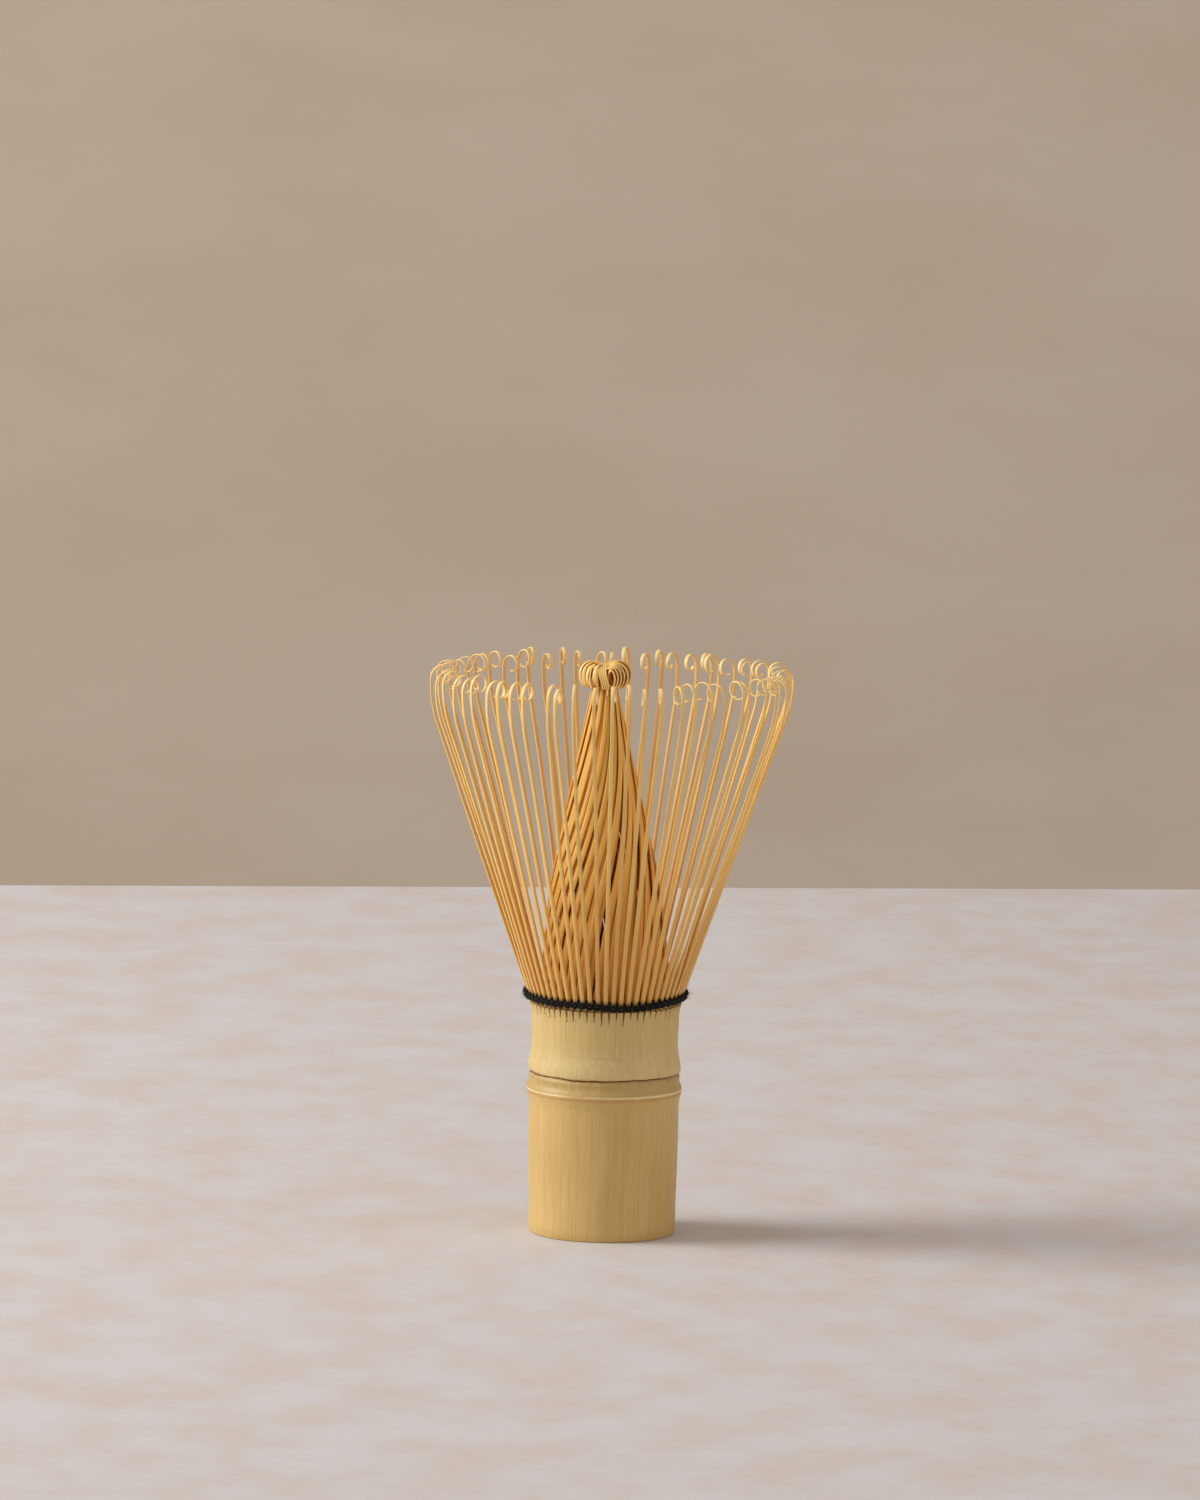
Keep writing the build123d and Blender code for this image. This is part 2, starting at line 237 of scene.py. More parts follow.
class Nodes:
    """Short helpers for one material's node tree."""

    def __init__(self, name):
        self.material = bpy.data.materials.new(name)
        self.material.use_nodes = True
        self.tree = self.material.node_tree
        self.shader = self.tree.nodes["Principled BSDF"]

    def new(self, kind, **values):
        node = self.tree.nodes.new(kind)
        for key, value in values.items():
            setattr(node, key, value)
        return node

    def plug(self, value, socket):
        if isinstance(value, bpy.types.NodeSocket):
            self.tree.links.new(value, socket)
        else:
            socket.default_value = value

    def math(self, operation, a, b=0.0):
        node = self.new("ShaderNodeMath", operation=operation)
        self.plug(a, node.inputs[0])
        self.plug(b, node.inputs[1])
        return node.outputs[0]

    def plus(self, a, b):
        return self.math("ADD", a, b)

    def minus(self, a, b):
        return self.math("SUBTRACT", a, b)

    def times(self, a, b):
        return self.math("MULTIPLY", a, b)

    def fact(self, name):
        return self.new("ShaderNodeAttribute", attribute_name=name).outputs["Fac"]

    def vector(self, x, y, z):
        node = self.new("ShaderNodeCombineXYZ")
        for value, socket in zip((x, y, z), node.inputs):
            self.plug(value, socket)
        return node.outputs[0]

    def place(self):
        node = self.new("ShaderNodeSeparateXYZ")
        self.plug(self.new("ShaderNodeTexCoord").outputs["Object"], node.inputs[0])
        return node.outputs

    def scaled(self, x, y, z):
        """Object coordinates in cycles per millimetre along each axis."""
        node = self.new("ShaderNodeMapping")
        self.plug(self.new("ShaderNodeTexCoord").outputs["Object"], node.inputs["Vector"])
        node.inputs["Scale"].default_value = (x / MM, y / MM, z / MM)
        return node.outputs[0]

    def noise(self, vector, scale=1.0, detail=3.0, rough=0.55):
        node = self.new("ShaderNodeTexNoise")
        self.plug(vector, node.inputs["Vector"])
        node.inputs["Scale"].default_value = scale
        node.inputs["Detail"].default_value = detail
        node.inputs["Roughness"].default_value = rough
        return node.outputs["Fac"]

    def spread(self, value, low, high, to_low=0.0, to_high=1.0):
        node = self.new("ShaderNodeMapRange", interpolation_type="SMOOTHSTEP")
        self.plug(value, node.inputs["Value"])
        for key, number in (("From Min", low), ("From Max", high), ("To Min", to_low), ("To Max", to_high)):
            self.plug(number, node.inputs[key])
        return node.outputs[0]

    def blend(self, amount, a, b):
        node = self.new("ShaderNodeMix", data_type="RGBA")
        self.plug(amount, node.inputs["Factor"])
        self.plug(a, node.inputs["A"])
        self.plug(b, node.inputs["B"])
        return node.outputs["Result"]

    def band(self, value, centre, half, soft):
        """1 within half of centre, fading to 0 over soft."""
        distance = self.math("ABSOLUTE", self.minus(value, centre))
        return self.spread(distance, half, half + soft, 1.0, 0.0)

    def bump(self, height, distance, strength=1.0):
        node = self.new("ShaderNodeBump")
        node.inputs["Strength"].default_value = strength
        node.inputs["Distance"].default_value = distance * MM
        self.plug(height, node.inputs["Height"])
        self.plug(node.outputs[0], self.shader.inputs["Normal"])

    def set(self, **sockets):
        names = {"color": "Base Color", "rough": "Roughness", "sheen": "Sheen Weight",
                 "sheen_rough": "Sheen Roughness", "coat": "Coat Weight", "coat_rough": "Coat Roughness",
                 "sss": "Subsurface Weight", "sss_radius": "Subsurface Radius",
                 "sss_scale": "Subsurface Scale", "specular": "Specular IOR Level"}
        for key, value in sockets.items():
            self.plug(value, self.shader.inputs[names[key]])
        return self.material


def tine_material(name, skin, core, deep, shaved, foot, edge=(-0.3, 0.8)):
    """Split bamboo: straight fibres, and every strip a little different. shaved is how pale the tip is,
    foot how dark the foot is, and edge where the core's colour gives way to the skin's round a section."""
    m = Nodes(name)
    tone, tip = m.fact("tone"), m.fact("tip")
    shift = m.times(tone, 97.0)
    fibre = m.vector(m.plus(m.times(m.fact("across"), 9.0), shift),
                     m.times(m.fact("through"), 1.3),
                     m.plus(m.times(m.fact("along"), 0.07), shift))
    streaks = m.noise(fibre, 0.8, 2.0, 0.5)
    fine = m.noise(fibre, 2.6, 1.0, 0.5)
    cloud = m.noise(m.vector(shift, 0.0, m.times(m.fact("along"), 0.09)), 1.0, 2.0)
    color = m.blend(m.spread(m.fact("through"), *edge), core, skin)
    color = m.blend(m.spread(streaks, 0.45, 0.75, 0.0, 0.35), color, deep)
    color = m.blend(m.spread(tone, 0.5, 1.0, 0.0, 0.3), color, deep)
    color = m.blend(m.spread(tip, 0.0, 0.55, foot, 0.0), color, deep)
    color = m.blend(m.spread(cloud, 0.5, 0.8, 0.0, 0.3), color, deep)
    pale = linear(250, 228, 170)
    color = m.blend(m.spread(fine, 0.58, 0.75, 0.0, 0.3), color, pale)
    color = m.blend(m.spread(tip, 0.8, 0.97, 0.0, shaved), color, pale)
    m.bump(m.plus(streaks, m.times(fine, 0.3)), 0.012, 0.4)
    return m.set(color=color, rough=m.spread(streaks, 0.3, 0.7, 0.34, 0.5), specular=0.42,
                 sss=0.06, sss_radius=(1.0, 0.45, 0.12), sss_scale=0.0006)


def culm_material():
    """The culm's skin: fine upright fibres, a brown scar at the node, an olive band under it."""
    m = Nodes("bamboo_culm")
    x, y, z = m.place()
    height = m.times(z, 1 / MM)
    radius = m.times(m.math("SQRT", m.plus(m.times(x, x), m.times(y, y))), 1 / MM)
    fibre = m.noise(m.scaled(2.6, 2.6, 0.035), 1.0, 4.0, 0.62)
    hair = m.noise(m.scaled(8.5, 8.5, 0.09), 1.0, 2.0, 0.5)
    cloud = m.noise(m.scaled(0.12, 0.12, 0.05), 1.0, 3.0, 0.5)
    wave = m.noise(m.scaled(0.16, 0.16, 0.02), 1.0, 3.0, 0.6)

    # The skin, greener just above the scar and olive just under it
    color = m.blend(m.spread(cloud, 0.3, 0.7), linear(212, 180, 115), linear(203, 168, 102))
    above = m.spread(height, GROOVE_Z, GROOVE_Z + 0.3)
    color = m.blend(above, color, linear(208, 180, 117))
    green = m.times(above, m.spread(height, GROOVE_Z + 1.2, GROOVE_Z + 7.5, 1.0, 0.0))
    color = m.blend(m.times(green, 0.8), color, linear(210, 187, 130))
    olive = m.band(height, GROOVE_Z - 1.3, 1.15, 0.4)
    color = m.blend(m.times(olive, 0.85), color, linear(184, 156, 96))

    # Upright fibres, dark and pale, with broader stripes in the green
    color = m.blend(m.spread(fibre, 0.45, 0.72, 0.0, 0.42), color, linear(182, 142, 80))
    color = m.blend(m.spread(hair, 0.5, 0.75, 0.0, 0.4), color, linear(234, 208, 148))
    stripes = m.noise(m.scaled(4.5, 4.5, 0.1), 1.0, 2.0, 0.5)
    striped = m.times(green, m.spread(stripes, 0.45, 0.75, 0.0, 0.35))
    color = m.blend(striped, color, linear(232, 214, 164))

    # The swelling under the scar: a brown line of painted shade in the hollow, then a pale painted
    # highlight along the crest
    level = m.plus(height, m.times(wave, 0.25))
    # painted shade: brown laid along the hollow where the skin turns under the crest
    hollow = m.times(m.band(level, GROOVE_Z - 3.2, 0.05, 0.4), 0.4)
    color = m.blend(hollow, color, linear(176, 122, 66))
    # painted highlight: a pale line along the crest, broken up round the culm
    painted_crest_highlight = m.times(m.band(level, GROOVE_Z - 2.65, 0.04, 0.22), m.spread(wave, 0.35, 0.6, 0.1, 0.8))
    color = m.blend(painted_crest_highlight, color, linear(246, 226, 174))

    # The scar, a wandering brown line, and the smudges under it
    blotch = m.noise(m.scaled(0.9, 0.9, 0.5), 1.0, 4.0, 0.65)
    smudge = m.times(m.band(height, GROOVE_Z - 0.45, 0.15, 0.4), m.spread(blotch, 0.56, 0.7))
    color = m.blend(m.times(smudge, 0.7), color, linear(122, 84, 46))
    scar = m.plus(GROOVE_Z + 0.12, m.times(m.minus(wave, 0.5), 0.9))
    line = m.times(m.band(height, scar, 0.06, 0.17), m.spread(blotch, 0.22, 0.5, 0.55, 1.0))
    color = m.blend(line, color, linear(122, 70, 42))

    # Brown specks, each in a pale ring, and a fine nick above the scar
    cells = m.new("ShaderNodeTexVoronoi")
    m.plug(m.scaled(0.26, 0.26, 0.2), cells.inputs["Vector"])
    cells.inputs["Scale"].default_value = 1.0
    speck = cells.outputs["Distance"]
    color = m.blend(m.spread(speck, 0.03, 0.075, 0.3, 0.0), color, linear(238, 212, 150))
    color = m.blend(m.spread(speck, 0.018, 0.034, 0.8, 0.0), color, linear(128, 86, 46))
    nick = m.band(m.plus(height, m.times(wave, 1.2)), GROOVE_Z + 4.6, 0.02, 0.1)
    nick = m.times(nick, m.spread(cloud, 0.45, 0.6, 0.0, 0.4))
    color = m.blend(nick, color, linear(160, 130, 76))

    # Inside, in the slits and along the cut end the wood shows; the slits' darker brown is painted shade
    # over it
    wood = m.blend(m.spread(fibre, 0.4, 0.7), linear(214, 190, 142), linear(186, 154, 100))
    color = m.blend(m.spread(radius, 12.05, 12.45, 1.0, 0.0), color, wood)
    # painted shade: the slits turn brown the deeper the skin falls in
    color = m.blend(m.spread(m.fact("slit"), 0.02, 0.5, 0.0, 0.85), color, linear(166, 116, 62))
    color = m.blend(m.spread(height, 0.02, 0.38, 0.6, 0.0), color, linear(226, 200, 150))
    m.bump(m.plus(fibre, m.times(hair, 0.5)), 0.035, 0.5)
    return m.set(color=color, rough=m.spread(fibre, 0.3, 0.7, 0.42, 0.56), specular=0.35, coat=0.08,
                 coat_rough=0.25)


def pith_material():
    """The cut wall inside the node, soft and coarse."""
    m = Nodes("bamboo_pith")
    grain = m.noise(m.scaled(1.2, 1.2, 1.2), 1.0, 5.0, 0.65)
    color = m.blend(m.spread(grain, 0.35, 0.65), linear(214, 194, 152), linear(172, 142, 96))
    m.bump(grain, 0.12, 0.7)
    return m.set(color=color, rough=0.8)


def thread_material():
    """Black cotton: the plies wind round the strand, and the fuzz catches a little light."""
    m = Nodes("black_cotton")
    turns = m.plus(m.times(m.fact("across"), 2.0), m.times(m.fact("along"), 1.7))
    ply = m.math("ABSOLUTE", m.minus(m.math("FRACT", turns), 0.5))
    lint = m.noise(m.scaled(7.0, 7.0, 7.0), 1.0, 4.0, 0.7)
    color = m.blend(m.spread(ply, 0.0, 0.5), linear(30, 27, 25), linear(9, 8, 8))
    color = m.blend(m.spread(lint, 0.55, 0.8, 0.0, 0.4), color, linear(52, 46, 40))
    m.bump(m.plus(m.times(ply, 2.0), lint), 0.07, 0.8)
    return m.set(color=color, rough=0.9, sheen=0.08, sheen_rough=0.5, specular=0.1)


outer_bamboo = tine_material("outer_tine_bamboo", linear(243, 204, 122), linear(236, 190, 106),
                             linear(208, 148, 62), 0.65, 0.5)
# The inner tines' bamboo is darker and more orange than the outer tines': painted shade for the inside of
# the cone, over the bamboo's own colour
inner_bamboo_and_painted_shade = tine_material("inner_tine_bamboo_and_painted_shade", linear(238, 186, 86), linear(222, 144, 30),
                             linear(198, 124, 30), 0.0, 0.5)
# The knot's bamboo: the dark core colour over most of each section is painted shade between the strips, and
# the pale skin on their outward faces is a painted highlight on top, over the bamboo's own core and skin
# colours
knot_bamboo_and_painted_light = tine_material("knot_bamboo_and_painted_light", linear(250, 214, 132), linear(206, 128, 38),
                            linear(222, 152, 58), 0.0, 0.0, (0.4, 0.93))
culm_bamboo = culm_material()
pith = pith_material()
cotton = thread_material()


# ---------------------------------------------------------------- outer tines

design = Random(16)  # the CAD's own draws, in the same order
whim = Random(64)


def walk(place, ahead, out, legs, width, thickness):
    """Steps along legs of (length, curvature towards the inside, twist in radians, step)."""
    total = sum(leg[0] for leg in legs)
    frames, gone = [], 0.0
    side = ahead.cross(out)
    frames.append((place, out, side, width(0.0), thickness(0.0)))
    for length, bend, twist, step in legs:
        count = max(1, ceil(length / step))
        ds = length / count
        for _ in range(count):
            turn = Quaternion(side, -bend * ds / 2)
            ahead, out = turn @ ahead, turn @ out
            place = place + ahead * ds
            ahead, out = turn @ ahead, turn @ out
            out = Quaternion(ahead, twist / count) @ out
            side = ahead.cross(out)
            gone += ds
            frames.append((place, out.copy(), side.copy(), width(gone / total), thickness(gone / total)))
    return frames


def outer_tine(skin, azimuth, lean_range, inwards):
    """A straight stem, a bend and a curl. inwards: -1 or 1 at the edge of a splint, towards its middle."""
    slope = LEAN_SLOPE + LEAN_SKEW * cos(radians(azimuth)) + design.uniform(-SLOPE_SPREAD, SLOPE_SPREAD)
    side_lean = design.uniform(*lean_range)
    lift = design.uniform(-LIFT_SPREAD, LIFT_SPREAD)
    size = design.uniform(*CURL_SIZES)
    tail = design.uniform(*TAIL_TURNS)

    foot_z = bind_height(azimuth)
    lean = atan(slope)
    bend_radius = (UPRIGHT_Z + lift - BEND_Z) / sin(lean)
    a, b = radians(azimuth), radians(side_lean)
    outwards = Vector((cos(a), sin(a), 0))
    across = Vector((sin(a) * cos(b), -cos(a) * cos(b), sin(b)))
    up = across.cross(outwards)
    start = UP * foot_z + outwards * (FOOT_R + slope * FOOT_GAP) + up * FOOT_GAP
    ahead = (outwards * sin(lean) + up * cos(lean)).normalized()
    out = (outwards * cos(lean) - up * sin(lean)).normalized()

    rise = BEND_Z - foot_z - FOOT_GAP
    stem = hypot(rise, slope * rise)
    calm = 0.5 if inwards else 1.0
    shared_turn = 16 * noise.noise(Vector((cos(a) * 2, sin(a) * 2, 4)))
    turn = calm * radians(whim.gauss(0, 6) + shared_turn)
    legs = [(stem, 0.0, radians(whim.gauss(0, 4)), 1.5), (bend_radius * lean, 1 / bend_radius, turn, 0.7)]
    (r1, t1), (r2, t2), (r3, t3) = CURL
    extra = whim.uniform(-10, 45)
    curl = ((r1 * 1.3, t1 * 0.4, 0.25), (r1 * 0.85, t1 * 0.6, 0.25), (r2, t2, 0.22),
            (r3, t3 + tail, 0.2), (CURL_END_R, extra + 12, 0.16))
    for radius, angle, step in curl:
        legs.append((radius * size * radians(angle), 1 / (radius * size), radians(whim.gauss(0, 3)), step))
    slim = whim.uniform(0.92, 1.06)
    thin = whim.uniform(0.9, 1.1)
    seed = whim.uniform(0, 500)

    def width(t):
        ripple = 1 + 0.06 * noise.noise(Vector((seed, t * 9, 0)))
        stem_w = mix(TINE_W0, TINE_BEND_W * slim, min(1.0, t * 1.3))
        return mix(stem_w, TINE_W1 * slim, ramp(t, 0.78, 0.9)) * ripple

    def thickness(t):
        ripple = 1 + 0.06 * noise.noise(Vector((seed, t * 7, 9)))
        stem_t = mix(TINE_T0, TINE_BEND_T * thin, min(1.0, t * 1.3))
        return mix(stem_t, TINE_T1 * thin, ramp(t, 0.74, 0.86)) * ripple

    frames = walk(start, ahead, out, legs, width, thickness)
    bow, sway = whim.gauss(-0.04, 0.2), whim.gauss(0, 0.2) * calm
    drift = (inwards or whim.choice((-1, 1))) * whim.uniform(0.1, 0.4)
    curl_from = stem + bend_radius * lean
    total = sum(leg[0] for leg in legs)
    gone, moved, last = 0.0, [], frames[0][0]
    for centre, n, s, w, t in frames:
        gone += (centre - last).length
        last = centre
        wave = sin(pi * min(1.0, gone / curl_from))
        inset = 0.05 * ramp(gone, 0, stem)
        place = centre + out * (bow * wave - inset)
        place += across * (sway * wave * sin(2.1 * gone / stem))
        place += across * (drift * ramp(gone, curl_from + 1.0, total))
        moved.append((place, n, s, w, t))
    skin.strip(moved, whim.random())
    return moved


tips = []
for splint, hinge in enumerate(hinges):
    skin = Skin()
    for tine in range(TINES):
        inwards = {0: -1, TINES - 1: 1}.get(tine, 0)
        tips.append(outer_tine(skin, (splint * TINES + tine) * PITCH, SIDE_LEANS[tine], inwards))
    piece = skin.build(f"outer_tines_{splint + 1:02}", outer_bamboo)
    settle(piece, hinge["child"], f"outer_splint_{splint + 1:02}")


# ---------------------------------------------------------------- inner tines

def corner(value, at, first, second, soft=9.0):
    """Two slopes that meet at a height, with the corner rounded."""
    d = value - at
    if d < -soft:
        return first * d
    if d > soft:
        return second * d
    return first * d + (second - first) * (d + soft) ** 2 / (4 * soft)


def inner_tine(skin, azimuth, layer):
    """A strip of the twisted cone, which turns in at INNER_MID_Z and runs on into the knot."""
    neck_r, neck_w = NECK_LAYERS[layer]
    depth = sorted((r for r, _ in NECK_LAYERS), reverse=True).index(neck_r)
    foot_r, foot_t, foot_w = INNER_FOOT
    mid_r, mid_t, mid_w = INNER_MID
    mid_r = mid_r - depth * LAYER_STEP + whim.uniform(-0.18, 0.18)
    low_slope = (mid_r - foot_r) / (INNER_MID_Z - SPLIT_Z)
    high_slope = (neck_r - mid_r) / (NECK_Z - INNER_MID_Z)
    turn_low = TWIST_MID / (INNER_MID_Z - SPLIT_Z)
    turn_high = (TWIST_NECK - TWIST_MID) / (NECK_Z - INNER_MID_Z)
    sway = whim.gauss(0, 0.9)
    slim = whim.uniform(0.9, 1.12)
    seed = whim.uniform(0, 500)

    def place(z):
        r = mid_r + corner(z, INNER_MID_Z, low_slope, high_slope)
        angle = azimuth + TWIST_MID + corner(z, INNER_MID_Z, turn_low, turn_high)
        angle += sway * sin(pi * (z - SPLIT_Z) / (NECK_Z - SPLIT_Z))
        return polar(max(0.6, r), angle, z) + KNOT_MIDDLE * ((z - SPLIT_Z) / (NECK_Z - SPLIT_Z)), angle

    frames = []
    count = 44
    for i in range(count + 1):
        z = mix(SPLIT_Z, NECK_Z + INTO_KNOT, i / count)
        centre, angle = place(z)
        ahead = (place(z + 0.2)[0] - place(z - 0.2)[0]).normalized()
        out = polar(1, angle, 0)
        out = (out - ahead * out.dot(ahead)).normalized()
        s = min(1.0, max(0.0, (z - SPLIT_Z) / (INNER_MID_Z - SPLIT_Z)))
        u = min(1.0, max(0.0, (z - INNER_MID_Z) / (NECK_Z - INNER_MID_Z)))
        width = mix(foot_w, mid_w, s) if z < INNER_MID_Z else mix(mid_w, neck_w, u)
        thickness = mix(foot_t, mid_t, s) if z < INNER_MID_Z else mix(mid_t, NECK_T, u)
        width *= slim * (1 + 0.05 * noise.noise(Vector((seed, z * 0.15, 3))))
        frames.append((centre, out, ahead.cross(out), width, thickness))
    skin.strip(frames, whim.random())


for splint in range(SPLINTS):
    skin = Skin()
    for tine in range(TINES):
        inner_tine(skin, (splint * TINES + tine) * PITCH, tine)
    piece = skin.build(f"inner_tines_{splint + 1:02}", inner_bamboo_and_painted_shade)
    settle(piece, "handle", f"inner_splint_{splint + 1:02}")


# ---------------------------------------------------------------- knot

ROLL_T = 0.2  # thickness of a rolled strip
ROOT_R = 1.1  # where the loops rise, from the knot's axis


def knot_strip(skin, points, width, thickness, tilt, tone, facing, count=34):
    """A strip whose flat side faces away from the knot's middle, tilted a little like a shingle."""
    path = curve_through(points, count)
    frames = []
    for i, p in enumerate(path):
        before, after = path[max(0, i - 1)], path[min(count, i + 1)]
        ahead = (after - before).normalized()
        side = (facing - ahead * facing.dot(ahead)).normalized()
        out = ahead.cross(side)
        turn = Quaternion(ahead, tilt)
        t = i / count
        w = width * (1 - 0.25 * ramp(t, 0.75, 1.0))
        frames.append((p, turn @ out, turn @ side, w, thickness))
    skin.strip(frames, tone, sides=8)


def knot_points(*places):
    """Places given from the knot's own axis, at their true height."""
    return [KNOT_MIDDLE + Vector(place) for place in places]


def knot_loop(skin, base, heading, reach, top, foot, width, tilt, tuck=0.35, lean=0.0):
    """A strip that rises from the neck, rolls over outwards and tucks its tip in underneath."""
    ahead = polar(1, heading, 0)
    facing = polar(1, heading + 90, 0)
    shape = [(0.0, NECK_Z - 0.2), (0.0, mix(foot, top, 0.5)), (0.1, mix(foot, top, 0.86)),
             (0.42, top), (0.82, mix(foot, top, 0.86)), (1.0, mix(foot, top, 0.52)),
             (0.93, mix(foot, top, 0.2)), (0.7, foot), (tuck, foot + 0.35), (tuck - 0.12, foot + 0.9)]
    points = [base + ahead * (reach * k) + facing * (lean * (z - foot)) + UP * z for k, z in shape]
    knot_strip(skin, points, width, ROLL_T, tilt, whim.random(), facing)


def knot_lobes(skin):
    """Loops side by side round the knot. The front right is left to the tab, the hollow and the arcs."""
    count = 53
    for k in range(count):
        heading = -8 + (k + whim.uniform(-0.3, 0.3)) * 258 / (count - 1)
        side = abs(cos(radians(heading)))
        top = mix(KNOT_TOP - 1.2, KNOT_TOP - 0.12, side ** 0.8) - whim.uniform(0, 0.22)
        foot = KNOT_FOOT + whim.uniform(0.0, 0.55)
        reach = (KNOT_OUT_R - ROOT_R) * whim.uniform(0.9, 1.0) * mix(0.92, 1.0, side)
        knot_loop(skin, KNOT_MIDDLE + polar(ROOT_R, heading, 0), heading, reach, top, foot,
                  whim.uniform(0.5, 0.68), radians(whim.gauss(-6, 12)), lean=whim.gauss(0, 0.07))


def knot_arcs(skin):
    """Loops seen almost flat on, round the hollow, that fan out into the right-hand lobe."""
    count = 6
    for k in range(count):
        t = k / (count - 1)
        base = KNOT_MIDDLE + Vector((mix(0.55, 0.35, t), mix(-3.75, -1.35, t), 0))
        room = sqrt((KNOT_OUT_R - 0.1) ** 2 - base.y ** 2) - 0.55
        top = mix(KNOT_TOP - 1.45, KNOT_TOP - 0.25, t ** 0.7)
        foot = KNOT_FOOT + mix(0.55, 0.05, t)
        knot_loop(skin, base, mix(-6, -2, t), min(1.15 + 0.6 * k, room), top, foot,
                  0.44, radians(mix(46, 20, t)), tuck=0.1, lean=0.03)


def knot_tab(skin):
    """A bundle of strips that hangs down flat at the front."""
    for k in range(4):
        x = -0.85 + 0.36 * k
        points = knot_points(
            (x * 0.6, 0.3, KNOT_TOP - 0.9),
            (x * 0.8, -1.6, KNOT_TOP - 0.8),
            (x - 0.15, -3.3, KNOT_TOP - 1.25),
            (x - 0.05, -4.15, KNOT_TOP - 2.3),
            (x + 0.3, -4.3, KNOT_FOOT + 1.3),
            (x + 0.5, -4.1, KNOT_FOOT + 0.1))
        knot_strip(skin, points, 0.37, 0.22, radians(-14 + 7 * k), 0.1 + 0.2 * k, Vector((1, 0, 0)), 26)


def knot_hollow(skin):
    """Strips that stand in the hollow behind the tab."""
    for k in range(7):
        x = -1.6 + 0.42 * k + whim.uniform(-0.08, 0.08)
        points = knot_points(
            (x * 0.7, -1.6, NECK_Z + 0.5),
            (x * 0.9, -2.7, KNOT_FOOT + 1.0),
            (x, -3.0, KNOT_TOP - 2.2),
            (x * 0.9, -1.6, KNOT_TOP - 1.2),
            (x * 0.7, -0.4, KNOT_TOP - 1.1))
        tilt = radians(whim.gauss(0, 14))
        knot_strip(skin, points, 0.4, ROLL_T, tilt, whim.uniform(0.6, 1), Vector((1, 0, 0)), 22)


def knot_dip(skin):
    """Strips that cross the dip at the top from lobe to lobe, the front ones lower."""
    for k in range(8):
        y = -2.9 + 0.5 * k
        rise = KNOT_TOP - 1.2 + 0.06 * k
        points = knot_points(
            (-3.4, y * 0.7, rise - 0.1),
            (-1.9, y, rise + 0.25),
            (0.0, y - 0.15, rise),
            (1.7, y, rise + 0.22),
            (3.0, y * 0.6, rise - 0.1))
        tilt = radians(48 + whim.uniform(-12, 12))
        knot_strip(skin, points, 0.62, ROLL_T, tilt, whim.uniform(0, 0.4), Vector((0, 1, 0)), 24)


def knot_core(skin):
    """Two rings of strips, twisted together, that the rolls lie round."""
    count = 18
    for k in range(count):
        angle = k * 360 / count
        ring = 0.75 if k % 2 else 0.4
        points = []
        for t in (0, 0.33, 0.66, 1):
            height = mix(NECK_Z - 0.3, KNOT_TOP - 1.5, t)
            points.append(KNOT_MIDDLE + polar(ring * mix(1.3, 1.0, t), angle + 70 * t, height))
        knot_strip(skin, points, 0.5, 0.24, 0.0, whim.random(), polar(1, angle + 90, 0), 14)


rolls = Skin()
for make in (knot_lobes, knot_arcs, knot_tab, knot_hollow, knot_dip):
    make(rolls)
settle(rolls.build("knot", knot_bamboo_and_painted_light), "handle", "knot_rolls")
core = Skin()
knot_core(core)
settle(core.build("knot_core_strips", knot_bamboo_and_painted_light), "handle", "knot_core")


# ---------------------------------------------------------------- culm

def wall(node, least_r):
    """The CAD's outer profile as a list of (height, radius), without what lies inside least_r."""
    found = {}
    for v in frame["nodes"][node].data.vertices:
        r = hypot(v.co.x, v.co.y) / MM
        z = v.co.z / MM
        if r > least_r:
            key = round(z, 2)
            found[key] = max(found.get(key, 0.0), r)
    return sorted(found.items())


def read(profile, z):
    """The profile's radius at a height, smooth between its points."""
    if z <= profile[0][0]:
        return profile[0][1]
    if z >= profile[-1][0]:
        return profile[-1][1]
    for i in range(len(profile) - 1):
        (z1, r1), (z2, r2) = profile[i], profile[i + 1]
        if z1 <= z <= z2:
            z0, r0 = profile[i - 1] if i else (z1 - (z2 - z1), r1 - (r2 - r1))
            z3, r3 = profile[i + 2] if i + 2 < len(profile) else (z2 + (z2 - z1), r2 + (r2 - r1))
            u, span = (z - z1) / (z2 - z1), z2 - z1
            m1 = (r2 - r0) / (z2 - z0) * span
            m2 = (r3 - r1) / (z3 - z1) * span
            return ((2 * u ** 3 - 3 * u ** 2 + 1) * r1 + (u ** 3 - 2 * u ** 2 + u) * m1
                    + (-2 * u ** 3 + 3 * u ** 2) * r2 + (u ** 3 - u ** 2) * m2)


COLUMNS = 12  # per finger of the crown
AROUND = SPLINTS * TINES * COLUMNS


def unevenness(azimuth, z):
    """How far the grown culm stands off a perfect round."""
    a = radians(azimuth)
    slow = noise.noise(Vector((cos(a) * 1.1, sin(a) * 1.1, z * 0.03)))
    mid = noise.noise(Vector((cos(a) * 4, sin(a) * 4, z * 0.09 + 7)))
    return -0.05 + 0.05 * slow + 0.015 * mid


def node_warp(azimuth, z):
    """The scar and its swellings wander up and down round the culm."""
    a = radians(azimuth)
    wave = noise.noise(Vector((cos(a) * 1.7 + 5, sin(a) * 1.7, 0))) * 0.42
    wave += noise.noise(Vector((cos(a) * 7 + 9, sin(a) * 7, 0))) * 0.08
    return wave * ramp(z, GROOVE_Z - 5.5, GROOVE_Z - 2.5) * (1 - ramp(z, GROOVE_Z + 2.5, GROOVE_Z + 5.5))


